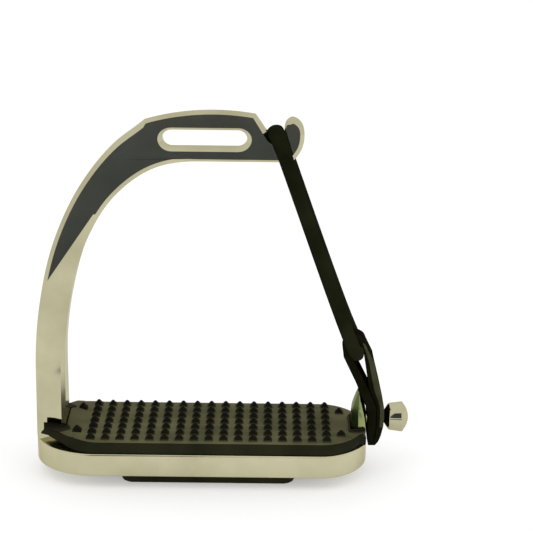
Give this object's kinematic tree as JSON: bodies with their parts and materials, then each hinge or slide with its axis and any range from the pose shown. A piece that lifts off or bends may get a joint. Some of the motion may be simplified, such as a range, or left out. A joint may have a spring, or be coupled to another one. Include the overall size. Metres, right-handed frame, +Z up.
{
  "type": "safety stirrup iron",
  "caption": "Offset-arch safety stirrup iron with a rubber tread, and a rubber release ring held by a leather tab buttoned on a side stud.",
  "frame": {"origin": "middle of the flat underside of the rubber tread's plug, which the iron stands on", "axes": "+X along the tread towards the rubber ring, +Y from the front face to the back face, +Z up"},
  "size_m": [0.1538, 0.0452, 0.152],
  "materials": {
    "polished_steel": "polished",
    "tread_rubber": "matt moulded",
    "ring_rubber": "satin",
    "strap_leather": "waxed"
  },
  "bodies": {
    "iron": {"iron_frame": "polished_steel", "stud": "polished_steel", "tread_pad": "tread_rubber"},
    "tab": {"leather_tab": "strap_leather"},
    "ring": {"rubber_ring": "ring_rubber"}
  },
  "joints": [
    {"name": "tab_swivel", "type": "hinge", "parent": "iron", "child": "tab", "pos_m": [0.0685, 0, 0.0237], "axis": [1, 0, 0], "range_deg": [0, 39]},
    {"name": "ring_swing", "type": "hinge", "parent": "tab", "child": "ring", "pos_m": [0.0597, 0, 0.055], "axis": [0, 1, 0], "range_deg": [0, 130], "deforming": ["rubber_ring"]}
  ],
  "couplings": [
    {"joint": "tab_swivel", "follows": "ring_swing", "ratio": 0.3}
  ]
}
